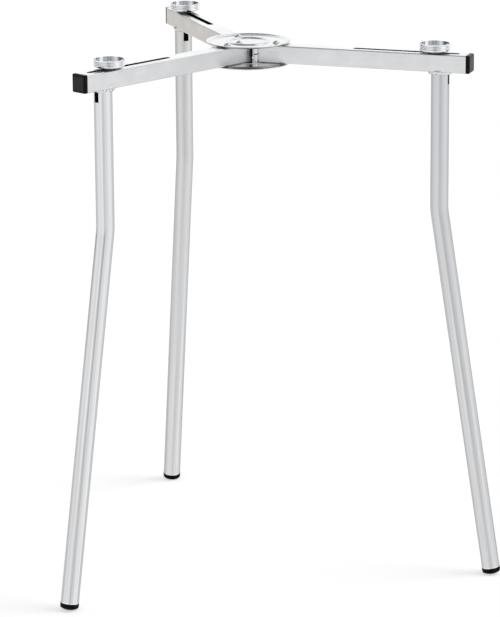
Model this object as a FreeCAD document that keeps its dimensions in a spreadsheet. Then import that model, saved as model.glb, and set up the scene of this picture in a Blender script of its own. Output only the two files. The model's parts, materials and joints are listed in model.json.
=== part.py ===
import FreeCAD, Part
import math
import os
import types

import Sketcher

# Folding tripod stand for a round gas burner, in millimetres and degrees.
# The origin is on the floor under the middle of the hub, +Z is up, and the fixed arm points to -Y.
# The two other arms swing about rivets in the hub and fold beside the fixed arm.

SIZES = {
    # Square tube of the arms, and how far each runs from the hub's axis
    "arm_width": 25,
    "arm_wall": 1.5,
    "arm_corner": 2,
    "arm_inner_corner": 0.8,
    "arm_top": 740,
    "arm_reach": 316,
    "fixed_arm_start": 7.5,
    "swing_arm_start": 15,
    "open_angle": 115.5,
    # Slot in the top wall of each arm, and how far it ends from the end of the arm
    "slot_length": 151.5,
    "slot_width": 8.8,
    "slot_inset": 11.5,
    # Round tube of the legs, its inset from the end of the arm, and its spread below the bend
    "leg_diameter": 25,
    "leg_wall": 1.5,
    "leg_inset": 39,
    "bend_height": 522,
    "bend_radius": 90,
    "foot_spread": 81,
    # Vent notch and weld at the top of each leg
    "notch_width": 7.5,
    "notch_height": 17.5,
    "weld_size": 3.5,
    "weld_angle": 100,
    # Rivets, and the circle that the outer ones stand on
    "rivet_diameter": 6,
    "rivet_head_diameter": 10,
    "rivet_head_height": 3.8,
    "rivet_clearance": 0.05,
    "rivet_circle": 41,
    # Pressed discs of the hub, and the room between a rivet's head and the step to their rim and ring
    "plate_thickness": 1.5,
    "rim_room": 5.3,
    "step_width": 4,
    "rim_width": 3,
    "rim_height": 2,
    "rim_edge": 0.6,
    "ring_room": 3,
    "ring_radius": 28,
    "ring_width": 5,
    "ring_height": 1.6,
    # Pins that stop the swing of the arms
    "pin_diameter": 6,
    "pin_groove": 0.5,
    "stop_gap": 0.3,
    # Plugs in the outer ends of the arms
    "cap_flange": 5.5,
    "cap_chamfer": 1.5,
    "cap_plug": 7.5,
    "cap_wall": 2,
    "plug_clearance": 0.15,
    # Domed plugs in the lower ends of the legs, and how far they stand proud of the tube
    "foot_lip": 0.4,
    "foot_height": 10,
    "foot_dome": 23,
    "foot_edge": 3,
    "foot_plug": 18,
    "foot_wall": 2.5,
    "sole_depth": 0.4,
    # Cups for the feet of the burner, their grooves, and how far each stands from the end of its slot
    "cup_diameter": 43,
    "cup_height": 10,
    "cup_wall": 1.5,
    "cup_edge": 2.5,
    "cup_inner_edge": 2,
    "groove_depth": 0.6,
    "left_cup_inset": 39.5,
    "right_cup_inset": 35.5,
    "rear_cup_inset": 35.5,
    # Screw, washer and nut that hold each cup in its slot
    "screw_diameter": 8,
    "screw_head_diameter": 12,
    "screw_head_height": 2,
    "screw_spare": 2,
    "socket_width": 4,
    "socket_depth": 2,
    "washer_diameter": 18,
    "washer_thickness": 3.2,
    "hole_clearance": 0.2,
    "nut_width": 13,
    "nut_thickness": 5,
    "nut_gap": 0.1,
    "thread_clearance": 0.05,
}

# The centre of an arc lies to the left or to the right of the way from its first point to its last.
LEFT = 1
RIGHT = -1

CUP_GROOVES = 3

doc = FreeCAD.newDocument("tripod_stand")
sheet = doc.addObject("Spreadsheet::Sheet", "Sizes")
for row, (alias, amount) in enumerate(SIZES.items(), start=1):
    sheet.set(f"A{row}", alias)
    sheet.set(f"B{row}", str(amount))
    sheet.setAlias(f"B{row}", alias)
doc.recompute()


class Size:
    """A size kept twice: as an expression on the sheet's cells, and as the number it comes to."""

    def __init__(self, text, number):
        self.text = text
        self.number = number

    def __add__(self, other):
        return joined(self, "+", other, lambda a, b: a + b)

    def __sub__(self, other):
        return joined(self, "-", other, lambda a, b: a - b)

    def __mul__(self, other):
        return joined(self, "*", other, lambda a, b: a * b)

    def __truediv__(self, other):
        return joined(self, "/", other, lambda a, b: a / b)

    def __rsub__(self, other):
        return plain(other) - self

    def __neg__(self):
        return plain(0) - self


def plain(value):
    return value if isinstance(value, Size) else Size(str(value), float(value))


def joined(first, sign, second, work):
    second = plain(second)
    return Size(f"({first.text} {sign} {second.text})", work(first.number, second.number))


def sine(angle):
    return Size(f"sin({angle.text} * 1 deg)", math.sin(math.radians(angle.number)))


def cosine(angle):
    return Size(f"cos({angle.text} * 1 deg)", math.cos(math.radians(angle.number)))


def tangent(angle):
    return Size(f"tan({angle.text} * 1 deg)", math.tan(math.radians(angle.number)))


def slope_angle(slope):
    return Size(f"(atan({slope.text}) / 1 deg)", math.degrees(math.atan(slope.number)))


def root(square):
    return Size(f"sqrt({square.text})", math.sqrt(square.number))


def bulge_radius(half_chord, rise):
    return (half_chord * half_chord + rise * rise) / (rise * 2)


size = types.SimpleNamespace(**{name: Size(f"Sizes.{name}", number) for name, number in SIZES.items()})
zero = plain(0)

# Heights and places that follow from the sizes
arm_bottom = size.arm_top - size.arm_width
arm_middle = size.arm_top - size.arm_width / 2
slot_end = size.arm_reach - size.slot_inset
slot_start = slot_end - size.slot_length
leg_radius = size.leg_diameter / 2
leg_reach = size.arm_reach - size.leg_inset
foot_reach = leg_reach + size.foot_spread
foot_radius = leg_radius + size.foot_lip
leg_tilt = slope_angle(size.foot_spread / size.bend_height)
foot_stand = size.foot_height - size.foot_dome + (size.foot_dome - size.sole_depth) / cosine(leg_tilt)
seat_x = foot_reach - foot_stand * sine(leg_tilt)
seat_z = foot_stand * cosine(leg_tilt)
rivet_radius = size.rivet_diameter / 2
rivet_head_radius = size.rivet_head_diameter / 2
rivet_hole_radius = rivet_radius + size.rivet_clearance
ring_in = size.ring_radius - size.ring_width / 2
ring_out = size.ring_radius + size.ring_width / 2
inner_rivet_reach = ring_in - size.ring_room - rivet_head_radius
step_start = size.rivet_circle + rivet_head_radius + size.rim_room
step_middle = step_start + size.step_width / 2
step_end = step_start + size.step_width
plate_radius = step_end + size.rim_width
hub_top = size.arm_top + size.plate_thickness
hub_bottom = arm_bottom - size.plate_thickness
cup_base = size.arm_top + size.washer_thickness
screw_radius = size.screw_diameter / 2
screw_hole_radius = screw_radius + size.hole_clearance
nut_top = size.arm_top - size.arm_wall - size.nut_gap
nut_bottom = nut_top - size.nut_thickness

# Which way each arm points, seen from above and counted from +X
direction = {
    "left": plain(270),
    "right": size.open_angle - 90,
    "rear": 270 - size.open_angle,
}
arm_start = {
    "left": size.fixed_arm_start,
    "right": size.swing_arm_start,
    "rear": size.swing_arm_start,
}
cup_reach = {
    "left": slot_end - size.left_cup_inset,
    "right": slot_end - size.right_cup_inset,
    "rear": slot_end - size.rear_cup_inset,
}


def around_hub(reach, angle):
    return reach * cosine(angle), reach * sine(angle)


rivet_place = {
    "left_outer_rivet": around_hub(size.rivet_circle, direction["left"]),
    "left_inner_rivet": around_hub(inner_rivet_reach, direction["left"]),
    "right_pivot_rivet": around_hub(size.rivet_circle, direction["right"]),
    "rear_pivot_rivet": around_hub(size.rivet_circle, direction["rear"]),
}

# A stop pin touches the side of its swinging arm both when the arm is open and when it lies folded
# beside the fixed arm, so it stands as far from one of these lines as from the other.
pin_to_line = size.arm_width / 2 + size.pin_diameter / 2 + size.stop_gap
pin_aside = size.rivet_circle * sine(size.open_angle) - pin_to_line
pin_along = (pin_to_line + pin_aside * cosine(size.open_angle)) / sine(size.open_angle)
pin_place = {
    "right_stop_pin": (pin_aside, -pin_along),
    "rear_stop_pin": (-pin_aside, -pin_along),
}

bodies = []


def bind(thing, name, value):
    thing.setExpression(name, plain(value).text)


def new_body(label):
    body = doc.addObject("PartDesign::Body", label)
    body.Label = label
    bodies.append(body)
    return body


def turn_to(body, angle):
    """Turn a body about the hub's axis, from +X to the way its arm points."""
    body.Placement = FreeCAD.Placement(
        FreeCAD.Vector(), FreeCAD.Rotation(FreeCAD.Vector(0, 0, 1), angle.number))
    bind(body, "Placement.Rotation.Angle", angle)


def move_to(body, place):
    bind(body, "Placement.Base.x", place[0])
    bind(body, "Placement.Base.y", place[1])


def new_sketch(body, name, role, right=zero, up=zero, out=zero, tilt=zero):
    """A sketch on one of the body's own planes, moved within it and out of it, and tilted in it."""
    sketch = body.newObject("Sketcher::SketchObject", name)
    plane = next(part for part in body.Origin.OriginFeatures if part.Role == role)
    sketch.AttachmentSupport = [(plane, "")]
    sketch.MapMode = "FlatFace"
    sketch.AttachmentOffset = FreeCAD.Placement(
        FreeCAD.Vector(right.number, up.number, out.number),
        FreeCAD.Rotation(FreeCAD.Vector(0, 0, 1), tilt.number))
    bind(sketch, "AttachmentOffset.Base.x", right)
    bind(sketch, "AttachmentOffset.Base.y", up)
    bind(sketch, "AttachmentOffset.Base.z", out)
    bind(sketch, "AttachmentOffset.Rotation.Angle", tilt)
    return sketch


def hold(sketch, kind, value, *where):
    index = sketch.addConstraint(Sketcher.Constraint(kind, *where, value.number))
    bind(sketch, f"Constraints[{index}]", value)


def hold_point(sketch, curve, end, x, y):
    """Fix a point of a curve at x, y, or on an axis of the sketch where one of them is nought."""
    for kind, axis, value in (("DistanceX", -2, x), ("DistanceY", -1, y)):
        if value is zero:
            sketch.addConstraint(Sketcher.Constraint("PointOnObject", curve, end, axis))
        else:
            hold(sketch, kind, value, -1, 1, curve, end)


def add_arc(sketch, first, last, radius, hand):
    """An arc of under half a turn. Gives back which of its ends are the first and the last point."""
    chord = last - first
    middle = (first + last) * 0.5
    height = math.sqrt(max(radius.number ** 2 - chord.Length ** 2 / 4, 0))
    to_left = FreeCAD.Vector(-chord.y, chord.x, 0).normalize()
    centre = middle + to_left * (height * hand)
    ends = [first, last] if hand == LEFT else [last, first]
    angles = [math.atan2(point.y - centre.y, point.x - centre.x) for point in ends]
    circle = Part.Circle(centre, FreeCAD.Vector(0, 0, 1), radius.number)
    curve = sketch.addGeometry(Part.ArcOfCircle(circle, *angles), False)
    hold(sketch, "Radius", radius, curve)
    return (1, 2) if hand == LEFT else (2, 1)


def add_outline(sketch, corners, arcs=None, closed=True):
    """Join corners by straight sides, or by the arcs that are given as a radius and a hand per side."""
    arcs = arcs or {}
    points = [FreeCAD.Vector(x.number, y.number, 0) for x, y in corners]
    sides = len(corners) if closed else len(corners) - 1
    base = sketch.GeometryCount
    ends = []
    for side in range(sides):
        first = points[side]
        last = points[(side + 1) % len(points)]
        if side in arcs:
            ends.append(add_arc(sketch, first, last, *arcs[side]))
        else:
            sketch.addGeometry(Part.LineSegment(first, last), False)
            ends.append((1, 2))
    for side in range(sides):
        hold_point(sketch, base + side, ends[side][0], *corners[side])
        if closed or side + 1 < sides:
            after = (side + 1) % sides
            sketch.addConstraint(Sketcher.Constraint(
                "Coincident", base + side, ends[side][1], base + after, ends[after][0]))
    if not closed:
        hold_point(sketch, base + sides - 1, ends[-1][1], *corners[-1])


def add_circle(sketch, x, y, radius):
    middle = FreeCAD.Vector(x.number, y.number, 0)
    circle = Part.Circle(middle, FreeCAD.Vector(0, 0, 1), radius.number)
    curve = sketch.addGeometry(circle, False)
    hold_point(sketch, curve, 3, x, y)
    hold(sketch, "Radius", radius, curve)


def add_rounded_square(sketch, height, width, corner):
    """A square with round corners, its middle on the vertical axis at a height."""
    half = width / 2
    flat = half - corner
    corners = [
        (-flat, height - half), (flat, height - half),
        (half, height - flat), (half, height + flat),
        (flat, height + half), (-flat, height + half),
        (-half, height + flat), (-half, height - flat),
    ]
    add_outline(sketch, corners, {side: (corner, LEFT) for side in (1, 3, 5, 7)})


def add_rectangle(sketch, left, bottom, right, top):
    add_outline(sketch, [(left, bottom), (right, bottom), (right, top), (left, top)])


def add_hexagon(sketch, width):
    """A hexagon about the sketch's middle, as wide across its flats as is given."""
    flat = width / 2
    point = flat / cosine(plain(30))
    add_outline(sketch, [
        (point, zero), (point / 2, flat), (-point / 2, flat),
        (-point, zero), (-point / 2, -flat), (point / 2, -flat),
    ])


def add_pad(body, sketch, name, length, reverse=False):
    pad = body.newObject("PartDesign::Pad", name)
    pad.Profile = sketch
    pad.Reversed = reverse
    bind(pad, "Length", length)
    doc.recompute()
    return pad


def add_cut(body, sketch, name, depth, both_ways=False):
    """Cut against the sketch's normal, or both ways from it, and make sure that something went."""
    before = body.Shape.Volume
    pocket = body.newObject("PartDesign::Pocket", name)
    pocket.Profile = sketch
    pocket.Midplane = both_ways
    bind(pocket, "Length", depth)
    doc.recompute()
    if not body.Shape.Volume < before:
        raise RuntimeError(f"{body.Label}: {name} cut nothing")
    return pocket


def add_turned(body, sketch, name, angle=None):
    """Turn a sketch about its own vertical axis: all round, or by an angle centred on the sketch."""
    turned = body.newObject("PartDesign::Revolution", name)
    turned.Profile = sketch
    turned.ReferenceAxis = (sketch, ["V_Axis"])
    if angle is None:
        turned.Angle = 360
    else:
        turned.Midplane = True
        bind(turned, "Angle", angle)
    doc.recompute()
    return turned


def add_fillet(body, feature, name, edges, radius):
    fillet = body.newObject("PartDesign::Fillet", name)
    fillet.Base = (feature, edges)
    bind(fillet, "Radius", radius)
    doc.recompute()
    return fillet


def round_edges(feature, radius):
    """Names and heights of a feature's full circles of one radius."""
    found = {}
    for index, edge in enumerate(feature.Shape.Edges, start=1):
        round_edge = not edge.Degenerated and isinstance(edge.Curve, Part.Circle)
        if round_edge and math.isclose(edge.Curve.Radius, radius, abs_tol=1e-6):
            found[f"Edge{index}"] = edge.Curve.Center.z
    return found


def make_arm(side):
    """Square tube with a long slot on top and the holes of its rivets through both walls."""
    body = new_body(f"{side}_arm")
    start = arm_start[side]
    section = new_sketch(body, f"{side}_arm_section", "YZ_Plane", out=start)
    add_rounded_square(section, arm_middle, size.arm_width, size.arm_corner)
    add_rounded_square(section, arm_middle, size.arm_width - size.arm_wall * 2, size.arm_inner_corner)
    add_pad(body, section, f"{side}_arm_tube", size.arm_reach - start)

    slot = new_sketch(body, f"{side}_slot_outline", "XY_Plane", out=size.arm_top)
    half = size.slot_width / 2
    inner = slot_start + half
    outer = slot_end - half
    corners = [
        (inner, -half), (outer, -half), (slot_end, zero),
        (outer, half), (inner, half), (slot_start, zero),
    ]
    add_outline(slot, corners, {end: (half, LEFT) for end in (1, 2, 4, 5)})
    add_cut(body, slot, f"{side}_slot", size.arm_width / 2)

    holes = new_sketch(body, f"{side}_rivet_holes_outline", "XY_Plane", out=size.arm_top)
    add_circle(holes, size.rivet_circle, zero, rivet_hole_radius)
    if side == "left":
        add_circle(holes, inner_rivet_reach, zero, rivet_hole_radius)
    add_cut(body, holes, f"{side}_rivet_holes", size.arm_width)
    turn_to(body, direction[side])


def make_leg(side):
    """Round tube, straight under its arm and then bent outwards, with its weld and its vent notch."""
    body = new_body(f"{side}_leg")
    bend_length = size.bend_radius * tangent(leg_tilt / 2)
    axis = new_sketch(body, f"{side}_leg_axis", "XZ_Plane")
    corners = [
        (leg_reach, arm_bottom),
        (leg_reach, size.bend_height + bend_length),
        (leg_reach + bend_length * sine(leg_tilt), size.bend_height - bend_length * cosine(leg_tilt)),
        (seat_x, seat_z),
    ]
    add_outline(axis, corners, {1: (size.bend_radius, LEFT)}, closed=False)
    section = new_sketch(body, f"{side}_leg_section", "XY_Plane", out=arm_bottom)
    add_circle(section, leg_reach, zero, leg_radius)
    add_circle(section, leg_reach, zero, leg_radius - size.leg_wall)
    tube = body.newObject("PartDesign::AdditivePipe", f"{side}_leg_tube")
    tube.Profile = section
    tube.Spine = (axis, ["Edge1", "Edge2", "Edge3"])
    doc.recompute()

    inside = leg_radius - size.leg_wall / 2
    for place, hand in (("outer", 1), ("inner", -1)):
        weld = new_sketch(
            body, f"{side}_{place}_weld_outline", "XZ_Plane", right=leg_reach, up=arm_bottom)
        corners = [
            (inside * hand, zero), (inside * hand, -size.weld_size),
            (leg_radius * hand, -size.weld_size), ((leg_radius + size.weld_size) * hand, zero),
        ]
        add_outline(weld, corners)
        add_turned(body, weld, f"{side}_{place}_weld", size.weld_angle)

    notch = new_sketch(body, f"{side}_notch_outline", "YZ_Plane", out=leg_reach)
    half = size.notch_width / 2
    add_rectangle(notch, -half, arm_bottom - size.notch_height, half, arm_bottom)
    add_cut(body, notch, f"{side}_notch", size.leg_diameter * 2, both_ways=True)
    turn_to(body, direction[side])


def make_end_cap(side):
    """Square plug with a bevelled flange, hollow inside the tube."""
    body = new_body(f"{side}_end_cap")
    flange = new_sketch(body, f"{side}_flange_outline", "YZ_Plane", out=size.arm_reach)
    add_rounded_square(flange, arm_middle, size.arm_width, size.arm_corner)
    pad = add_pad(body, flange, f"{side}_flange", size.cap_flange)
    faces = pad.Shape.Faces
    outermost = max(range(len(faces)), key=lambda index: faces[index].CenterOfMass.x)
    bevel = body.newObject("PartDesign::Chamfer", f"{side}_flange_bevel")
    bevel.Base = (pad, [f"Face{outermost + 1}"])
    bind(bevel, "Size", size.cap_chamfer)
    doc.recompute()

    plug = new_sketch(body, f"{side}_plug_outline", "YZ_Plane", out=size.arm_reach)
    plug_width = size.arm_width - (size.arm_wall + size.plug_clearance) * 2
    add_rounded_square(plug, arm_middle, plug_width, size.arm_inner_corner)
    add_rounded_square(plug, arm_middle, plug_width - size.cap_wall * 2, size.arm_inner_corner)
    add_pad(body, plug, f"{side}_plug", size.cap_plug, reverse=True)
    turn_to(body, direction[side])


def make_foot(side):
    """Domed plug along the slant of the leg, with a small level sole where it stands."""
    body = new_body(f"{side}_foot")
    plug_radius = leg_radius - size.leg_wall - size.plug_clearance
    hollow = plug_radius - size.foot_wall
    dome_depth = root(size.foot_dome * size.foot_dome - foot_radius * foot_radius)
    dome_edge = size.foot_dome - size.foot_height - dome_depth
    profile = new_sketch(
        body, f"{side}_foot_outline", "XZ_Plane", right=seat_x, up=seat_z, tilt=leg_tilt)
    corners = [
        (zero, -size.foot_height), (foot_radius, dome_edge), (foot_radius, zero), (plug_radius, zero),
        (plug_radius, size.foot_plug), (hollow, size.foot_plug), (hollow, zero), (zero, zero),
    ]
    add_outline(profile, corners, {0: (size.foot_dome, LEFT)})
    dome = add_turned(body, profile, f"{side}_foot_dome")
    rims = round_edges(dome, foot_radius.number)
    lowest = min(rims, key=rims.get)
    add_fillet(body, dome, f"{side}_foot_edge", [lowest], size.foot_edge)

    sole = new_sketch(body, f"{side}_sole_outline", "XZ_Plane", right=seat_x)
    add_rectangle(sole, -size.leg_diameter, -size.leg_diameter, size.leg_diameter, zero)
    add_cut(body, sole, f"{side}_sole", size.leg_diameter * 2, both_ways=True)
    turn_to(body, direction[side])


def make_cup(side):
    """Shallow round cup with a rounded bottom edge, grooves round its wall and a hole for its screw."""
    body = new_body(f"{side}_cup")
    radius = size.cup_diameter / 2
    bore = radius - size.cup_wall
    depth = size.groove_depth
    pitch = (size.cup_height - size.cup_edge) / (CUP_GROOVES + 0.5)
    grooves = []
    for number in range(CUP_GROOVES):
        middle = size.cup_edge + pitch * (number + 0.5)
        grooves += [(radius, middle - depth), (radius - depth, middle), (radius, middle + depth)]
    profile = new_sketch(body, f"{side}_cup_outline", "XZ_Plane", right=cup_reach[side], up=cup_base)
    corners = [
        (screw_hole_radius, zero), (radius - size.cup_edge, zero), (radius, size.cup_edge), *grooves,
        (radius, size.cup_height), (bore, size.cup_height),
        (bore, size.cup_wall + size.cup_inner_edge), (bore - size.cup_inner_edge, size.cup_wall),
        (screw_hole_radius, size.cup_wall),
    ]
    inner_edge = len(corners) - 3
    arcs = {1: (size.cup_edge, LEFT), inner_edge: (size.cup_inner_edge, RIGHT)}
    add_outline(profile, corners, arcs)
    add_turned(body, profile, f"{side}_cup_shell")
    turn_to(body, direction[side])


def make_cup_screw(side):
    """Domed socket screw through the bottom of the cup, the washer, the slot and the nut."""
    body = new_body(f"{side}_cup_screw")
    head_radius = size.screw_head_diameter / 2
    head_base = cup_base + size.cup_wall
    head_top = head_base + size.screw_head_height
    profile = new_sketch(body, f"{side}_screw_outline", "XZ_Plane", right=cup_reach[side])
    corners = [
        (zero, nut_bottom - size.screw_spare), (screw_radius, nut_bottom - size.screw_spare),
        (screw_radius, head_base), (head_radius, head_base), (zero, head_top),
    ]
    add_outline(profile, corners, {3: (bulge_radius(head_radius, size.screw_head_height), LEFT)})
    add_turned(body, profile, f"{side}_screw")
    socket = new_sketch(body, f"{side}_socket_outline", "XY_Plane", right=cup_reach[side], out=head_top)
    add_hexagon(socket, size.socket_width)
    add_cut(body, socket, f"{side}_socket", size.socket_depth)
    turn_to(body, direction[side])


def make_cup_washer(side):
    body = new_body(f"{side}_cup_washer")
    outline = new_sketch(body, f"{side}_washer_outline", "XY_Plane", out=size.arm_top)
    add_circle(outline, cup_reach[side], zero, size.washer_diameter / 2)
    add_circle(outline, cup_reach[side], zero, screw_hole_radius)
    add_pad(body, outline, f"{side}_washer", size.washer_thickness)
    turn_to(body, direction[side])


def make_slide_nut(side):
    """Square nut inside the arm, under the slot."""
    body = new_body(f"{side}_slide_nut")
    half = size.nut_width / 2
    outline = new_sketch(body, f"{side}_nut_outline", "XY_Plane", right=cup_reach[side], out=nut_bottom)
    add_rectangle(outline, -half, -half, half, half)
    add_circle(outline, zero, zero, screw_radius + size.thread_clearance)
    add_pad(body, outline, f"{side}_nut", size.nut_thickness)
    turn_to(body, direction[side])


def make_plate(label):
    """Pressed disc that lies flat on the arms, with a raised ring and a step up to a level rim."""
    body = new_body(label)
    thickness = size.plate_thickness
    rim = size.rim_height
    ring_curve = bulge_radius(size.ring_width / 2, size.ring_height)
    step_curve = bulge_radius(size.step_width / 2, rim / 2)
    profile = new_sketch(body, f"{label}_outline", "XZ_Plane")
    corners = [
        (zero, zero), (ring_in, zero), (ring_out, zero),
        (step_start, zero), (step_middle, rim / 2), (step_end, rim), (plate_radius, rim),
        (plate_radius, rim + thickness), (step_end, rim + thickness),
        (step_middle, rim / 2 + thickness), (step_start, thickness),
        (ring_out, thickness), (ring_in, thickness), (zero, thickness),
    ]
    arcs = {
        1: (ring_curve, RIGHT), 3: (step_curve, LEFT), 4: (step_curve, RIGHT),
        8: (step_curve, LEFT), 9: (step_curve, RIGHT), 11: (ring_curve, LEFT),
    }
    add_outline(profile, corners, arcs)
    disc = add_turned(body, profile, f"{label}_disc")
    rims = list(round_edges(disc, plate_radius.number))
    add_fillet(body, disc, f"{label}_rim_edge", rims, size.rim_edge)

    holes = new_sketch(body, f"{label}_holes_outline", "XY_Plane")
    for x, y in rivet_place.values():
        add_circle(holes, x, y, rivet_hole_radius)
    add_cut(body, holes, f"{label}_holes", thickness * 4, both_ways=True)
    return body


def make_hub_plates():
    """The same disc twice: one on top of the arms, and one turned over under them."""
    bind(make_plate("top_plate"), "Placement.Base.z", size.arm_top)
    turned_over = make_plate("bottom_plate")
    turned_over.Placement = FreeCAD.Placement(
        FreeCAD.Vector(), FreeCAD.Rotation(FreeCAD.Vector(0, 1, 0), 180))
    bind(turned_over, "Placement.Base.z", arm_bottom)


def make_rivet(label, place):
    """Domed rivet through both discs and the arm between them."""
    body = new_body(label)
    dome = (bulge_radius(rivet_head_radius, size.rivet_head_height), LEFT)
    profile = new_sketch(body, f"{label}_outline", "XZ_Plane")
    corners = [
        (zero, hub_bottom - size.rivet_head_height), (rivet_head_radius, hub_bottom),
        (rivet_radius, hub_bottom), (rivet_radius, hub_top),
        (rivet_head_radius, hub_top), (zero, hub_top + size.rivet_head_height),
    ]
    add_outline(profile, corners, {0: dome, 4: dome})
    add_turned(body, profile, f"{label}_solid")
    move_to(body, place)


def make_stop_pin(label, place):
    """Pin between the discs, with a turned groove half way up."""
    body = new_body(label)
    radius = size.pin_diameter / 2
    groove = size.pin_groove
    profile = new_sketch(body, f"{label}_outline", "XZ_Plane")
    corners = [
        (zero, arm_bottom), (radius, arm_bottom), (radius, arm_middle - groove),
        (radius - groove, arm_middle), (radius, arm_middle + groove),
        (radius, size.arm_top), (zero, size.arm_top),
    ]
    add_outline(profile, corners)
    add_turned(body, profile, f"{label}_solid")
    move_to(body, place)


make_hub_plates()
for name, spot in rivet_place.items():
    make_rivet(name, spot)
for name, spot in pin_place.items():
    make_stop_pin(name, spot)
for arm in direction:
    make_arm(arm)
    make_leg(arm)
    make_end_cap(arm)
    make_foot(arm)
    make_cup(arm)
    make_cup_screw(arm)
    make_cup_washer(arm)
    make_slide_nut(arm)
doc.recompute()

failed = [item.Label for item in doc.Objects if {"Invalid", "Error"} & set(item.State)]
failed += [body.Label for body in bodies if body.Shape.isNull() or not body.Shape.isValid()]
failed += [body.Label for body in bodies if len(body.Shape.Solids) != 1]
if failed:
    raise RuntimeError("failed: " + ", ".join(failed))

os.makedirs("parts", exist_ok=True)
for body in bodies:
    body.Shape.exportStep(f"parts/{body.Label}.step")
print(f"{len(bodies)} parts written")
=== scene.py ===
import json
import math

import bmesh
import bpy
from mathutils import Matrix, Vector, noise


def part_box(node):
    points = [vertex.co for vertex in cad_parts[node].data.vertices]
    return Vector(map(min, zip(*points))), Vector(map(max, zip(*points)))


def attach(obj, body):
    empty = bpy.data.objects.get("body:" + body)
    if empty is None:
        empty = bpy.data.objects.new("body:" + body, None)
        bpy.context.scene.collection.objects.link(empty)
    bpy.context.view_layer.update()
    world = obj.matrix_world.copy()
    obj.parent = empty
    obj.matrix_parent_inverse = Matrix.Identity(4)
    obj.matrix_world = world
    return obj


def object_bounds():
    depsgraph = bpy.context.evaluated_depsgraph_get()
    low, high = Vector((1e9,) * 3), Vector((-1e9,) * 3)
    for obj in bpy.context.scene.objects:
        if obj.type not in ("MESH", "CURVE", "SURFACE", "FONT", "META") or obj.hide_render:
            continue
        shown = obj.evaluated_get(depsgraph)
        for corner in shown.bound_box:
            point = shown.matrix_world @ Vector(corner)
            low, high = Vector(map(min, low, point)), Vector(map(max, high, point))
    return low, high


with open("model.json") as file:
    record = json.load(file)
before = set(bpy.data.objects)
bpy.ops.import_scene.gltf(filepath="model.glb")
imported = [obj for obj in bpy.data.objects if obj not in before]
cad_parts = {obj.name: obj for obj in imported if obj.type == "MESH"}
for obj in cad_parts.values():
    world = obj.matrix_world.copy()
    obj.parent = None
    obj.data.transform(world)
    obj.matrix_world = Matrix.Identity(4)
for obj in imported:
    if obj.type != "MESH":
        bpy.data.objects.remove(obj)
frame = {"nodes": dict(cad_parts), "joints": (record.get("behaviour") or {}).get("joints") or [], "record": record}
cad_low, cad_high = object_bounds()

# Finishes, studio and camera for a folding tripod stand, in metres and in the frame's own axes

SIDES = ("left", "right", "rear")
FRAME_BODY = {"left": "hub_and_left_arm", "right": "right_swing", "rear": "rear_swing"}
WHITE = (1.0, 1.0, 1.0, 1.0)

# The view: the picture's size and the focal length in pixels, and the camera's place
PICTURE_WIDTH = 500
PICTURE_HEIGHT = 617
FOCAL_PIXELS = 3374.8
SENSOR = 36.0
VIEW_REACH = 100.0
CAMERA_AZIMUTH = math.radians(-45.5)
CAMERA_DISTANCE = 4.6254
CAMERA_HEIGHT = 1.5782
CAMERA_PITCH = math.radians(14.78)
CAMERA_ROLL = math.radians(-0.40)

# What the metal mirrors below eye level, by the angle in degrees round from the camera's side
STUDIO_ROUND = (
    (-180, (0.70, 0.68, 0.66)),
    (-150, (0.82, 0.785, 0.74)),
    (-132, (0.78, 0.75, 0.71)),
    (-116, (0.62, 0.62, 0.62)),
    (-94, (0.82, 0.82, 0.83)),
    (-64, (0.85, 0.85, 0.86)),
    (-40, (0.86, 0.865, 0.87)),
    (-23, (0.96, 0.965, 0.97)),
    (-13, (0.65, 0.655, 0.66)),
    (0, (0.64, 0.645, 0.65)),
    (23, (0.78, 0.785, 0.79)),
    (60, (0.91, 0.915, 0.92)),
    (90, (0.91, 0.915, 0.92)),
    (112, (0.68, 0.68, 0.69)),
    (134, (0.76, 0.76, 0.77)),
    (180, (0.70, 0.68, 0.66)),
)
# What it mirrors above, by the angle over the top, from the white sweep behind the object to the camera
STUDIO_OVER = (
    (0, (1.16, 1.16, 1.16)),
    (38, (1.18, 1.18, 1.18)),
    (58, (0.72, 0.73, 0.76)),
    (80, (0.30, 0.315, 0.34)),
    (105, (0.22, 0.23, 0.25)),
    (130, (0.28, 0.295, 0.32)),
    (180, (0.62, 0.63, 0.65)),
)
EYE_LEVEL_BLEND = 0.10
AMBIENT = 0.80

# The soft key lamp, which stands to the right of the view, with its angles in degrees
KEY_ANGLE = 90
KEY_ELEVATION = 48
KEY_SPREAD = 36
KEY_ENERGY = 1.8

# Mirrored spots above eye level alone: angle, elevation, edge and core in degrees, then brightness
UPPER_SPOTS = {
    "right panel": (66, 14, 19, 10, 1.0),
    "left panel": (-53, 16, 19, 9, 0.74),
    "right flag": (112, 8, 13, 8, 0.08),
    "left flag": (-98, 11, 18, 10, 0.10),
    "dark room over the camera": (0, 22, 20, 11, 0.22),
}
# Mirrored spots over all the studio, in the same order of numbers
SPOTS = {
    "far left flag": (-126, 8, 18, 11, 0.08),
    "soft box over the camera": (0, 42, 24, 10, 0.95),
    "back of the camera": (3, 1, 10, 4, 0.40),
    "key lamp": (KEY_ANGLE, KEY_ELEVATION, 28, 14, 1.5),
}

# The floor, which glows a little
FLOOR_SIZE = 60.0
FLOOR_GAP = 0.0002
FLOOR_COLOUR = (0.36, 0.36, 0.36, 1.0)
FLOOR_GLOW = 0.585

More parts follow.
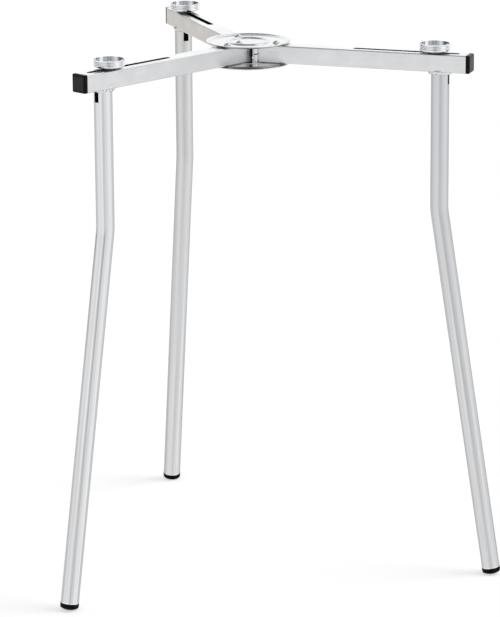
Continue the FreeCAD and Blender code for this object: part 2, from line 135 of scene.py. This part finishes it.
# Sizes that the finishes follow, measured on the frame where it shows them
SKIN = 0.0003
arm_low, arm_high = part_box("left_arm")
ARM_HALF = arm_high.x
ARM_MIDDLE = (arm_low.z + arm_high.z) / 2
TUBE_WALL = 0.0015
SLOT_HALF = 0.0044
CAP_PANEL_HALF = 0.0093
LEG_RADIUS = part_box("left_leg")[1].x
BEND_HEIGHT = 0.522
FOOT_SPREAD = 0.081
RIM_HIGHLIGHT_DEPTH = 0.0016
PIN_GROOVE = 0.0007
DISC_RIM = 0.003
DISC_STEP_HALF = 0.002
DISC_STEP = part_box("bottom_plate")[1].x - DISC_RIM - DISC_STEP_HALF
mounts = {mount["name"]: mount for mount in frame["record"]["mounts"]}
cup_low, cup_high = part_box("left_cup")
CUP_BORE = mounts["left_cup_seat"]["dims"]["r_mm"] / 1000
CUP_WALL = 0.0015
CUP_UNDERSIDE = cup_low.z - cup_high.z + CUP_WALL / 2
joints = {joint["name"]: joint for joint in frame["joints"]}
arm_way = {side: Vector(joints[f"{side}_cup_slide"]["axis"]) for side in SIDES}
heading = {side: math.atan2(way.y, way.x) for side, way in arm_way.items()}


def top_centre(node):
    """Middle of a node's uppermost ring of points."""
    points = [vertex.co for vertex in frame["nodes"][node].data.vertices]
    highest = max(point.z for point in points)
    ring = [point for point in points if point.z > highest - SKIN]
    low = Vector(map(min, *ring))
    high = Vector(map(max, *ring))
    return (low + high) / 2


LEG_REACH = -top_centre("left_leg").y
LEG_TILT = math.atan(FOOT_SPREAD / BEND_HEIGHT)
LEG_END = min(
    vertex.co.z * math.cos(LEG_TILT) + (vertex.co.y + LEG_REACH + FOOT_SPREAD) * math.sin(LEG_TILT)
    for vertex in frame["nodes"]["left_leg"].data.vertices)

# Weld bead round the top of a leg: its size at the front and back, and its stand and reach at the sides
WELD_DEEP = 0.0039
WELD_SIDE_STAND = 0.0014
WELD_SIDE_REACH = 0.0028
NOTCH_HALF = 0.0038
WELD_STEPS_ROUND = 120
WELD_STEPS_ACROSS = 10
# Where its sides begin and how soon they are full, by the sine of the turn round the leg
WELD_SIDE_START = 0.55
WELD_SIDE_BLEND = 0.4
# Where its round section starts, how far it sweeps, and how much further at the sides, in degrees
WELD_SECTION_START = -8
WELD_SECTION = 106
WELD_SIDE_SECTION = 80
# Its ripples and lumps, and how far apart in the noise the lumps of a turn, a half and a leg are taken
WELD_RIPPLE = 0.0017
WELD_RIPPLE_SHARE = 0.07
WELD_LUMP_SHARE = 0.30
LUMPS_ROUND = 5
LUMPS_PER_HALF = 9
LUMPS_PER_LEG = 7

# Plated metal, from its dull to its bright patches
TUBE_ZINC = ((0.79, 0.795, 0.80, 1.0), (0.87, 0.875, 0.88, 1.0))
BRIGHT_LEG = ((0.75, 0.755, 0.765, 1.0), (0.95, 0.955, 0.965, 1.0))
SATIN_LEG = ((0.715, 0.72, 0.725, 1.0), (0.92, 0.925, 0.93, 1.0))
DISC_ZINC = ((0.65, 0.655, 0.66, 1.0), (0.75, 0.755, 0.76, 1.0))
BRIGHT_ZINC = ((0.90, 0.905, 0.91, 1.0), (0.98, 0.985, 0.99, 1.0))
# Painted shade: the washers and nuts under the cups are dark to stand for the shade in the gap there
PAINTED_SHADE_STEEL = ((0.14, 0.14, 0.145, 1.0), (0.22, 0.22, 0.225, 1.0))
PATCH_RANGE = (0.35, 0.65)
CLOUD_SHARE = 0.4
STREAK_SHARE = 0.7

# How dull each kind of metal is, and how that changes from its dull to its bright patches
ARM_ROUGHNESS = 0.32
WELD_ROUGHNESS = 0.24
DISC_ROUGHNESS = 0.18
RIVET_ROUGHNESS = 0.12
PIN_ROUGHNESS = 0.30
CUP_ROUGHNESS = 0.20
HIDDEN_ROUGHNESS = 0.40
DULL_RANGE = (0.3, 0.7)
DULL_PATCH = 1.2
BRIGHT_PATCH = 0.85

# Each leg's tones, its roughness and its painted shade near the weld, darker on the right leg, and how dark its
# zinc turns at a glancing look
LEG_FINISH = {
    "left": (BRIGHT_LEG, 0.13, (0.86, 0.865, 0.875, 1.0)),
    "right": (SATIN_LEG, 0.34, (0.75, 0.765, 0.785, 1.0)),
    "rear": (SATIN_LEG, 0.40, (0.825, 0.815, 0.805, 1.0)),
}
LEG_EDGE = (0.66, 0.66, 0.66, 1.0)

# Grain of the metal: how fine it is along each axis of the place on a piece
ARM_GRAIN = (14.0, 1900.0, 1900.0)
LEG_GRAIN = (1500.0, 1500.0, 9.0)
TURNED_GRAIN = (2400.0, 1.5, 2400.0)
WELD_GRAIN = (600.0, 600.0, 600.0)
CLOUD = (55.0, 55.0, 55.0)
DRAW_STREAKS = (380.0, 380.0, 3.0)
GRIT = (2600.0, 2600.0, 2600.0)
PITS = (430.0, 430.0, 430.0)
PIT_RANGE = (0.56, 0.64)
GRIT_SHARE = 0.35
GRAIN_DETAIL = 5.0
GRAIN_ROUGHNESS = 0.6
SOFT_ROUGHNESS = 0.5
CLOUD_DETAIL = 4.0
GRIT_DETAIL = 2.0

# Relief of the metal, and the slope by which the inner walls of the cups seem to lean
FINE_RELIEF = 0.00001
WELD_RELIEF = 0.0003
BUMP_STRENGTH = 0.5
CUP_LEAN = 0.30

# Black plastic, from its deep to its scuffed patches, with the roughness and the sheen of each piece
FOOT_BLACK = ((0.0015, 0.0015, 0.0016, 1.0), (0.016, 0.016, 0.017, 1.0))
FOOT_ROUGHNESS = 0.34
FOOT_SHEEN = 0.06
CAP_BLACK = ((0.002, 0.002, 0.0022, 1.0), (0.006, 0.006, 0.0065, 1.0))
CAP_ROUGHNESS = 0.30
CAP_SHEEN = 0.12
PANEL_BLACK = (0.034, 0.034, 0.035, 1.0)
SCUFF_RANGE = (0.45, 0.70)
DEEP_PATCH = 0.85
SCUFFED_PATCH = 1.15
PLASTIC_GRAIN = (3200.0, 3200.0, 3200.0)
PLASTIC_CLOUD = (130.0, 130.0, 130.0)
PLASTIC_DETAIL = 3.0
PLASTIC_BUMP = 0.35
PLASTIC_RELIEF = 0.00006

# Sockets of a Mix node that mixes colours
MIX_FIRST = 6
MIX_SECOND = 7
MIX_RESULT = 2


def feed(tree, node, inputs):
    """Link or set the inputs of a node."""
    for key, value in inputs.items():
        if isinstance(value, bpy.types.NodeSocket):
            tree.links.new(value, node.inputs[key])
        else:
            node.inputs[key].default_value = value


def put(tree, kind, inputs=None, **settings):
    """Add a node, set it up and feed it."""
    node = tree.nodes.new(f"ShaderNode{kind}")
    for name, value in settings.items():
        setattr(node, name, value)
    feed(tree, node, inputs or {})
    return node


def calc(tree, operation, *values):
    """The result of one step of arithmetic on sockets and numbers."""
    return put(tree, "Math", dict(enumerate(values)), operation=operation).outputs[0]


def remap(tree, value, low, high, to_low, to_high):
    """A value moved from one range to another, and kept within it."""
    inputs = {"Value": value, "From Min": low, "From Max": high, "To Min": to_low, "To Max": to_high}
    return put(tree, "MapRange", inputs).outputs[0]


def ramp(tree, share, stops):
    """Colour by a share between nought and one, eased between stops."""
    node = put(tree, "ValToRGB", {0: share})
    node.color_ramp.interpolation = "EASE"
    elements = node.color_ramp.elements
    elements[0].color = (*stops[0][1], 1.0)
    elements[-1].color = (*stops[-1][1], 1.0)
    for position, colour in stops[1:-1]:
        elements.new(position).color = (*colour, 1.0)
    return node.outputs[0]


def speckle(tree, place, stretch, detail, roughness=SOFT_ROUGHNESS):
    """Noise on a place that is stretched first: large numbers make it fine along that axis."""
    vector = put(tree, "Mapping", {"Vector": place, "Scale": stretch}).outputs[0]
    inputs = {"Vector": vector, "Scale": 1.0, "Detail": detail, "Roughness": roughness}
    return put(tree, "TexNoise", inputs).outputs[0]


def mix_colour(tree, factor, first, second):
    """A colour between two others."""
    inputs = {0: factor, MIX_FIRST: first, MIX_SECOND: second}
    return put(tree, "Mix", inputs, data_type="RGBA").outputs[MIX_RESULT]


def split(tree, place):
    """The three numbers of a place."""
    return put(tree, "SeparateXYZ", {0: place}).outputs


def from_axis(tree, first, second):
    """Distance from an axis, by the places along two lines across it."""
    squares = calc(tree, "ADD", calc(tree, "POWER", first, 2.0), calc(tree, "POWER", second, 2.0))
    return calc(tree, "SQRT", squares)


def object_place(tree):
    """Place on a piece in the frame's own axes."""
    return put(tree, "TexCoord").outputs["Object"]


def arm_place(tree, side):
    """Place on an arm: x along it from the hub, y across it and z up."""
    inputs = {"Vector": object_place(tree), "Angle": -heading[side]}
    return put(tree, "VectorRotate", inputs, rotation_type="Z_AXIS").outputs[0]


def leg_place(tree, side):
    """Place on a leg as if its tube were straight and stood on the origin."""
    parts = split(tree, arm_place(tree, side))
    below = calc(tree, "MAXIMUM", calc(tree, "SUBTRACT", BEND_HEIGHT, parts[2]), 0.0)
    spread = calc(tree, "MULTIPLY", below, FOOT_SPREAD / BEND_HEIGHT)
    outwards = calc(tree, "SUBTRACT", calc(tree, "SUBTRACT", parts[0], LEG_REACH), spread)
    return put(tree, "CombineXYZ", {0: outwards, 1: parts[1], 2: parts[2]}).outputs[0]


def round_place(tree, centre):
    """Place on a turned or pressed piece: x from its axis, y round it and z up."""
    inputs = {0: object_place(tree), 1: centre}
    parts = split(tree, put(tree, "VectorMath", inputs, operation="SUBTRACT").outputs[0])
    radius = from_axis(tree, parts[0], parts[1])
    turn = calc(tree, "ARCTAN2", parts[1], parts[0])
    return put(tree, "CombineXYZ", {0: radius, 1: turn, 2: parts[2]}).outputs[0]


def from_arm_middle(tree, place):
    """Distance from the middle line of an arm, across it or up, whichever is more."""
    parts = split(tree, place)
    upright = calc(tree, "SUBTRACT", parts[2], ARM_MIDDLE)
    return calc(tree, "MAXIMUM", calc(tree, "ABSOLUTE", parts[1]), calc(tree, "ABSOLUTE", upright))


def inside_arm(tree, place):
    """One within the square tube and on the cut sides of its slot, nought on its skin."""
    parts = split(tree, place)
    within = calc(tree, "LESS_THAN", from_arm_middle(tree, place), ARM_HALF - TUBE_WALL + SKIN)
    in_slot = calc(tree, "LESS_THAN", calc(tree, "ABSOLUTE", parts[1]), SLOT_HALF + SKIN)
    height = calc(tree, "SUBTRACT", calc(tree, "SUBTRACT", parts[2], ARM_MIDDLE), ARM_HALF / 2)
    below_top = calc(tree, "LESS_THAN", calc(tree, "ABSOLUTE", height), ARM_HALF / 2 - SKIN / 2)
    return calc(tree, "MAXIMUM", within, calc(tree, "MULTIPLY", in_slot, below_top))


def cap_panel(tree, side):
    """One on the middle of an end cap's face, nought on its border."""
    return calc(tree, "LESS_THAN", from_arm_middle(tree, arm_place(tree, side)), CAP_PANEL_HALF)


def inside_leg(tree, place):
    """One within the round tube, nought on its skin."""
    parts = split(tree, place)
    return calc(tree, "LESS_THAN", from_axis(tree, parts[0], parts[1]), LEG_RADIUS - TUBE_WALL + 2 * SKIN)


def near_weld(tree, place):
    """One under the arm, and nought half way down the leg: where shade is painted near the weld."""
    return remap(tree, split(tree, place)[2], BEND_HEIGHT / 2, arm_low.z, 0.0, 1.0)


def rim_highlight(tree, place):
    """One on the rim at the lower end of a leg, where a highlight is painted, nought above it."""
    parts = split(tree, place)
    along = calc(tree, "SUBTRACT", calc(tree, "DIVIDE", parts[2], math.cos(LEG_TILT)),
                 calc(tree, "MULTIPLY", parts[0], math.sin(LEG_TILT)))
    return calc(tree, "LESS_THAN", along, LEG_END + RIM_HIGHLIGHT_DEPTH)


def inside_cup(tree, place):
    """One on the inner wall and the floor of a cup, nought on its outside."""
    parts = split(tree, place)
    within = calc(tree, "LESS_THAN", parts[0], CUP_BORE + SKIN)
    above = calc(tree, "GREATER_THAN", parts[2], CUP_UNDERSIDE)
    return calc(tree, "MULTIPLY", within, above)


def cup_lean(tree, place):
    """Relief by which the inner wall of a cup mirrors as if it leaned outwards."""
    within = calc(tree, "MULTIPLY", inside_cup(tree, place), split(tree, place)[2])
    return calc(tree, "MULTIPLY", within, -CUP_LEAN / (BUMP_STRENGTH * FINE_RELIEF))


def under_cup(tree, place):
    """One on the flat underside of a cup, where shade is painted, nought above it."""
    return calc(tree, "LESS_THAN", split(tree, place)[2], CUP_UNDERSIDE)


def pin_groove(tree, place):
    """One in the groove half way up a stop pin, where shade is painted, nought elsewhere."""
    height = calc(tree, "ADD", split(tree, place)[2], ARM_HALF)
    return calc(tree, "LESS_THAN", calc(tree, "ABSOLUTE", height), PIN_GROOVE)


def disc_step(tree, place):
    """One on the sloping step of a disc, where shade is painted, nought on its flat and its rim."""
    outwards = calc(tree, "SUBTRACT", split(tree, place)[0], DISC_STEP)
    return calc(tree, "LESS_THAN", calc(tree, "ABSOLUTE", outwards), DISC_STEP_HALF)


def pits(tree, place):
    """One in scattered pits of a weld, nought between them."""
    return remap(tree, speckle(tree, place, PITS, GRIT_DETAIL), *PIT_RANGE, 0.0, 1.0)


# Shades over the metal: where each lies, its colour and, unless it keeps the metal's own, its roughness. All but
# the weld's pits are painted shade or a painted highlight.
# Painted shade: the inside of the tubes and the cut sides of the arms' slots are near black
TUBE_INSIDE_SHADE = ((0.035, 0.034, 0.033, 1.0), 0.75)
ARM_SHADES = ((inside_arm, *TUBE_INSIDE_SHADE),)
LEG_SHADES = (
    # Painted highlight: a pale band round the lower end of each leg
    (rim_highlight, (0.97, 0.975, 0.98, 1.0), None),
    (inside_leg, *TUBE_INSIDE_SHADE),
)
CUP_SHADES = (
    # Painted shade: the inner wall and floor of a cup are darker and bluer than its outside
    (inside_cup, (0.84, 0.86, 0.90, 1.0), 0.12),
    # Painted shade: the underside of a cup is dark
    (under_cup, (0.14, 0.14, 0.145, 1.0), 0.45),
)
# Painted shade: the sloping step of the lower disc is darkened
LOWER_DISC_SHADES = ((disc_step, (0.40, 0.40, 0.40, 1.0), None),)
# Painted shade: the groove of a stop pin is near black
PIN_SHADES = ((pin_groove, (0.05, 0.05, 0.05, 1.0), 0.60),)
WELD_SHADES = ((pits, (0.30, 0.30, 0.30, 1.0), 0.40),)


def new_material(name):
    """An empty material with one shader, and its tree."""
    material = bpy.data.materials.new(name)
    material.use_nodes = True
    tree = material.node_tree
    tree.nodes.clear()
    output = put(tree, "OutputMaterial")
    shader = put(tree, "BsdfPrincipled")
    tree.links.new(shader.outputs[0], output.inputs["Surface"])
    return material, tree, shader


def zinc(name, tones, find_place, grain, roughness, *, relief=FINE_RELIEF,
         cloud=CLOUD, cloud_share=CLOUD_SHARE, edge=WHITE, shades=(), find_lean=None):
    """Zinc-plated steel with a drawn or turned grain, cloudy patches, a fine grit and shades over it."""
    material, tree, shader = new_material(name)
    place = find_place(tree)
    lines = speckle(tree, place, grain, GRAIN_DETAIL, GRAIN_ROUGHNESS)
    clouds = speckle(tree, place, cloud, CLOUD_DETAIL)
    grit = speckle(tree, object_place(tree), GRIT, GRIT_DETAIL)
    patches = calc(tree, "ADD", calc(tree, "MULTIPLY", lines, 1 - cloud_share),
                   calc(tree, "MULTIPLY", clouds, cloud_share))
    colour = mix_colour(tree, remap(tree, patches, *PATCH_RANGE, 0.0, 1.0), *tones)
    dullness = remap(tree, patches, *DULL_RANGE, roughness * DULL_PATCH, roughness * BRIGHT_PATCH)
    for find_share, shade, shade_roughness in shades:
        share = find_share(tree, place)
        colour = mix_colour(tree, share, colour, shade)
        if shade_roughness:
            dullness = remap(tree, share, 0.0, 1.0, dullness, shade_roughness)
    height = calc(tree, "ADD", lines, calc(tree, "MULTIPLY", grit, GRIT_SHARE))
    if find_lean:
        height = calc(tree, "ADD", height, find_lean(tree, place))
    bump = put(tree, "Bump", {"Strength": BUMP_STRENGTH, "Distance": relief, "Height": height})
    feed(tree, shader, {
        "Base Color": colour, "Metallic": 1.0, "Roughness": dullness, "Specular Tint": edge,
        "Normal": bump.outputs[0]})
    return material


def turned_zinc(name, tones, axis, roughness, shades=(), find_lean=None):
    """Zinc on a piece that was turned or pressed about an upright axis."""
    return zinc(
        name, tones, lambda tree: round_place(tree, axis), TURNED_GRAIN, roughness,
        shades=shades, find_lean=find_lean)


def black_plastic(name, tones, roughness, sheen, find_panel=None):
    """Moulded black plastic with a fine spark-eroded grain and scuffs, paler on a panel."""
    material, tree, shader = new_material(name)
    place = object_place(tree)
    grain = speckle(tree, place, PLASTIC_GRAIN, PLASTIC_DETAIL)
    clouds = speckle(tree, place, PLASTIC_CLOUD, CLOUD_DETAIL)
    colour = mix_colour(tree, remap(tree, clouds, *SCUFF_RANGE, 0.0, 1.0), *tones)
    dullness = remap(tree, clouds, *DULL_RANGE, roughness * DEEP_PATCH, roughness * SCUFFED_PATCH)
    if find_panel:
        colour = mix_colour(tree, find_panel(tree), colour, PANEL_BLACK)
    bump = put(tree, "Bump", {"Strength": PLASTIC_BUMP, "Distance": PLASTIC_RELIEF, "Height": grain})
    feed(tree, shader, {
        "Base Color": colour, "Roughness": dullness, "Normal": bump.outputs[0], "Specular IOR Level": sheen})
    return material


def dress(node, material):
    """Put one material on all the slots of a node."""
    for slot in frame["nodes"][node].material_slots:
        slot.material = material


def dress_tubes():
    """Arms and legs, drawn lengthwise."""
    for side in SIDES:
        dress(f"{side}_arm", zinc(
            f"{side}_arm_zinc", TUBE_ZINC, lambda tree: arm_place(tree, side), ARM_GRAIN, ARM_ROUGHNESS,
            shades=ARM_SHADES))
        tones, roughness, weld_shade_colour = LEG_FINISH[side]
        dress(f"{side}_leg", zinc(
            f"{side}_leg_zinc", tones, lambda tree: leg_place(tree, side), LEG_GRAIN, roughness,
            cloud=DRAW_STREAKS, cloud_share=STREAK_SHARE, edge=LEG_EDGE,
            shades=((near_weld, weld_shade_colour, None), *LEG_SHADES)))


def dress_hub():
    """The two discs with their rivets and pins."""
    axis = Vector()
    dress("top_plate", turned_zinc("top_disc_zinc", DISC_ZINC, axis, DISC_ROUGHNESS))
    dress("bottom_plate", turned_zinc(
        "bottom_disc_zinc", BRIGHT_ZINC, axis, DISC_ROUGHNESS, LOWER_DISC_SHADES))
    for node in ("left_outer_rivet", "left_inner_rivet", "right_pivot_rivet", "rear_pivot_rivet"):
        dress(node, turned_zinc(f"{node}_zinc", DISC_ZINC, top_centre(node), RIVET_ROUGHNESS))
    for node in ("right_stop_pin", "rear_stop_pin"):
        dress(node, turned_zinc(f"{node}_zinc", BRIGHT_ZINC, top_centre(node), PIN_ROUGHNESS, PIN_SHADES))


def dress_cups():
    """Cups with their screws, washers and nuts."""
    for side in SIDES:
        axis = top_centre(f"{side}_cup")
        dress(f"{side}_cup", turned_zinc(
            f"{side}_cup_zinc", BRIGHT_ZINC, axis, CUP_ROUGHNESS, CUP_SHADES, cup_lean))
        dress(f"{side}_cup_screw", turned_zinc(f"{side}_screw_zinc", DISC_ZINC, axis, CUP_ROUGHNESS))
        # Painted shade: the washers and nuts are dark for the shade under the cups
        hidden = turned_zinc(f"{side}_washer_painted_shade", PAINTED_SHADE_STEEL, axis, HIDDEN_ROUGHNESS)
        for piece in ("cup_washer", "slide_nut"):
            dress(f"{side}_{piece}", hidden)


def dress_plastic():
    """Feet and end caps."""
    foot = black_plastic("foot_plastic", FOOT_BLACK, FOOT_ROUGHNESS, FOOT_SHEEN)
    for side in SIDES:
        dress(f"{side}_end_cap", black_plastic(
            f"{side}_cap_plastic", CAP_BLACK, CAP_ROUGHNESS, CAP_SHEEN, lambda tree: cap_panel(tree, side)))
        dress(f"{side}_foot", foot)


def eased(value):
    """Nought to one with soft ends."""
    value = min(max(value, 0.0), 1.0)
    return value * value * (3 - 2 * value)


def weld_point(side, hand, turn, share):
    """Point on a weld bead: turned from the arm's way round the leg, and a share across the bead."""
    sideways = eased((math.sin(turn) - WELD_SIDE_START) / WELD_SIDE_BLEND)
    lump = noise.noise(Vector((
        math.cos(turn) * LUMPS_ROUND + hand * LUMPS_PER_HALF, math.sin(turn) * LUMPS_ROUND,
        SIDES.index(side) * LUMPS_PER_LEG + share)))
    ripple = math.cos(math.tau * turn * LEG_RADIUS / WELD_RIPPLE + math.pi * share)
    swell = 1 + WELD_LUMP_SHARE * lump + WELD_RIPPLE_SHARE * ripple
    stand = (WELD_DEEP + (WELD_SIDE_STAND - WELD_DEEP) * sideways) * swell
    reach = (WELD_DEEP + (WELD_SIDE_REACH - WELD_DEEP) * sideways) * swell
    bend = math.radians(WELD_SECTION_START + (WELD_SECTION + WELD_SIDE_SECTION * sideways) * share)
    radius = LEG_RADIUS + stand * math.sin(bend)
    least = math.asin(NOTCH_HALF / radius)
    turn = min(max(turn, least), math.pi - least)
    flat = Vector((LEG_REACH + radius * math.cos(turn), hand * radius * math.sin(turn), 0))
    return Matrix.Rotation(heading[side], 3, "Z") @ flat + Vector((0, 0, arm_low.z - reach * math.cos(bend)))


def make_weld(side):
    """Rippled bead round the top of a leg, in two halves with the vent notches between them."""
    shape = bmesh.new()
    start = math.asin(NOTCH_HALF / (LEG_RADIUS + WELD_DEEP))
    shares = [number / WELD_STEPS_ACROSS for number in range(WELD_STEPS_ACROSS + 1)]
    for hand in (1, -1):
        rows = []
        for step in range(WELD_STEPS_ROUND + 1):
            turn = start + (math.pi - 2 * start) * step / WELD_STEPS_ROUND
            rows.append([shape.verts.new(weld_point(side, hand, turn, share)) for share in shares])
        for first, second in zip(rows, rows[1:]):
            for number in range(WELD_STEPS_ACROSS):
                shape.faces.new((first[number], first[number + 1], second[number + 1], second[number]))
        shape.faces.new(rows[0])
        shape.faces.new(rows[-1])
    bmesh.ops.recalc_face_normals(shape, faces=shape.faces)
    for face in shape.faces:
        face.smooth = len(face.verts) == 4
    mesh = bpy.data.meshes.new(f"{side}_weld_bead")
    shape.to_mesh(mesh)
    shape.free()
    bead = bpy.data.objects.new(f"{side}_weld_bead", mesh)
    bpy.context.scene.collection.objects.link(bead)
    mesh.materials.append(zinc(
        f"{side}_weld_zinc", BRIGHT_ZINC, object_place, WELD_GRAIN, WELD_ROUGHNESS,
        relief=WELD_RELIEF, shades=WELD_SHADES))
    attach(bead, FRAME_BODY[side])


def studio_way(angle, elevation):
    """Direction from the object, by the angle from the camera's side and the elevation, in degrees."""
    azimuth = CAMERA_AZIMUTH + math.radians(angle)
    rise = math.radians(elevation)
    return Vector((math.cos(azimuth) * math.cos(rise), math.sin(azimuth) * math.cos(rise), math.sin(rise)))


def add_spots(tree, sky, colour, spots):
    """The colour of the studio with round, soft-edged spots over it."""
    for angle, elevation, edge, core, brightness in spots.values():
        inputs = {0: sky, 1: studio_way(angle, elevation)}
        towards = put(tree, "VectorMath", inputs, operation="DOT_PRODUCT").outputs["Value"]
        share = remap(tree, towards, math.cos(math.radians(edge)), math.cos(math.radians(core)), 0.0, 1.0)
        colour = mix_colour(tree, share, colour, (brightness, brightness, brightness, 1.0))
    return colour


def studio_panels(tree):
    """What the metal mirrors: the studio round the object and over it, with its spots."""
    sky = put(tree, "TexCoord").outputs["Generated"]
    parts = split(tree, sky)
    turn = calc(tree, "SUBTRACT", calc(tree, "ARCTAN2", parts[1], parts[0]), CAMERA_AZIMUTH)
    round_share = calc(tree, "FRACT", calc(tree, "ADD", calc(tree, "DIVIDE", turn, math.tau), 0.5))
    round_stops = [(angle / 360 + 0.5, colour) for angle, colour in STUDIO_ROUND]
    away = calc(tree, "ADD", calc(tree, "MULTIPLY", parts[0], -math.cos(CAMERA_AZIMUTH)),
                calc(tree, "MULTIPLY", parts[1], -math.sin(CAMERA_AZIMUTH)))
    over_share = calc(tree, "DIVIDE", calc(tree, "ARCTAN2", parts[2], away), math.pi)
    over_stops = [(angle / 180, colour) for angle, colour in STUDIO_OVER]
    upward = remap(tree, parts[2], 0.0, EYE_LEVEL_BLEND, 0.0, 1.0)
    below = ramp(tree, round_share, round_stops)
    above = add_spots(tree, sky, ramp(tree, over_share, over_stops), UPPER_SPOTS)
    return add_spots(tree, sky, mix_colour(tree, upward, below, above), SPOTS)


def make_world():
    """White to the camera, graded panels to whatever mirrors it, and plain ambient light to the rest."""
    world = bpy.data.worlds.new("studio")
    bpy.context.scene.world = world
    world.use_nodes = True
    tree = world.node_tree
    tree.nodes.clear()
    path = put(tree, "LightPath").outputs
    mirrored = calc(tree, "MAXIMUM", path["Is Glossy Ray"], path["Is Transmission Ray"])
    ambient = put(tree, "Background", {"Color": WHITE, "Strength": AMBIENT})
    studio = put(tree, "Background", {"Color": studio_panels(tree), "Strength": 1.0})
    backdrop = put(tree, "Background", {"Color": WHITE, "Strength": 1.0})
    unseen = put(tree, "MixShader", {0: mirrored, 1: ambient.outputs[0], 2: studio.outputs[0]})
    seen = put(tree, "MixShader", {0: path["Is Camera Ray"], 1: unseen.outputs[0], 2: backdrop.outputs[0]})
    output = put(tree, "OutputWorld")
    tree.links.new(seen.outputs[0], output.inputs["Surface"])


def make_floor():
    """A pale floor that glows just enough, to the eye alone, to be white outside the shadows."""
    half = FLOOR_SIZE / 2
    level = cad_low.z - FLOOR_GAP
    mesh = bpy.data.meshes.new("floor")
    corners = [(-half, -half, level), (half, -half, level), (half, half, level), (-half, half, level)]
    mesh.from_pydata(corners, [], [(0, 1, 2, 3)])
    floor = bpy.data.objects.new("floor", mesh)
    bpy.context.scene.collection.objects.link(floor)
    floor.visible_glossy = False

    material = bpy.data.materials.new("floor_white")
    material.use_nodes = True
    tree = material.node_tree
    tree.nodes.clear()
    matt = put(tree, "BsdfDiffuse", {"Color": FLOOR_COLOUR})
    path = put(tree, "LightPath").outputs
    strength = calc(tree, "MULTIPLY", path["Is Camera Ray"], FLOOR_GLOW)
    glow = put(tree, "Emission", {"Color": WHITE, "Strength": strength})
    both = put(tree, "AddShader", {0: matt.outputs[0], 1: glow.outputs[0]})
    output = put(tree, "OutputMaterial")
    tree.links.new(both.outputs[0], output.inputs["Surface"])
    mesh.materials.append(material)


def make_key_lamp():
    """A wide, soft sun, which the metal shows only as its spot in the studio."""
    lamp = bpy.data.lights.new("key", "SUN")
    lamp.energy = KEY_ENERGY
    lamp.angle = math.radians(KEY_SPREAD)
    key = bpy.data.objects.new("key", lamp)
    bpy.context.scene.collection.objects.link(key)
    key.rotation_mode = "QUATERNION"
    key.rotation_quaternion = studio_way(KEY_ANGLE, KEY_ELEVATION).to_track_quat("Z", "Y")
    key.visible_glossy = False


def make_camera():
    """A long lens that looks down at the hub's axis, rolled a little."""
    data = bpy.data.cameras.new("camera")
    data.sensor_width = SENSOR
    data.lens = FOCAL_PIXELS * SENSOR / max(PICTURE_WIDTH, PICTURE_HEIGHT)
    data.clip_end = VIEW_REACH
    camera = bpy.data.objects.new("camera", data)
    bpy.context.scene.collection.objects.link(camera)
    out = Vector((math.cos(CAMERA_AZIMUTH), math.sin(CAMERA_AZIMUTH), 0.0))
    back = out * math.cos(CAMERA_PITCH) + Vector((0, 0, math.sin(CAMERA_PITCH)))
    level = Vector((-out.y, out.x, 0.0))
    upright = back.cross(level)
    right = level * math.cos(CAMERA_ROLL) + upright * math.sin(CAMERA_ROLL)
    up = back.cross(right)
    turned = Matrix((right, up, back)).transposed().to_4x4()
    place = out * CAMERA_DISTANCE + Vector((0, 0, CAMERA_HEIGHT))
    camera.matrix_world = Matrix.Translation(place) @ turned
    bpy.context.scene.camera = camera


dress_tubes()
dress_hub()
dress_cups()
dress_plastic()
for side in SIDES:
    make_weld(side)
make_world()
make_floor()
make_key_lamp()
make_camera()
bpy.context.scene.view_settings.view_transform = "Standard"
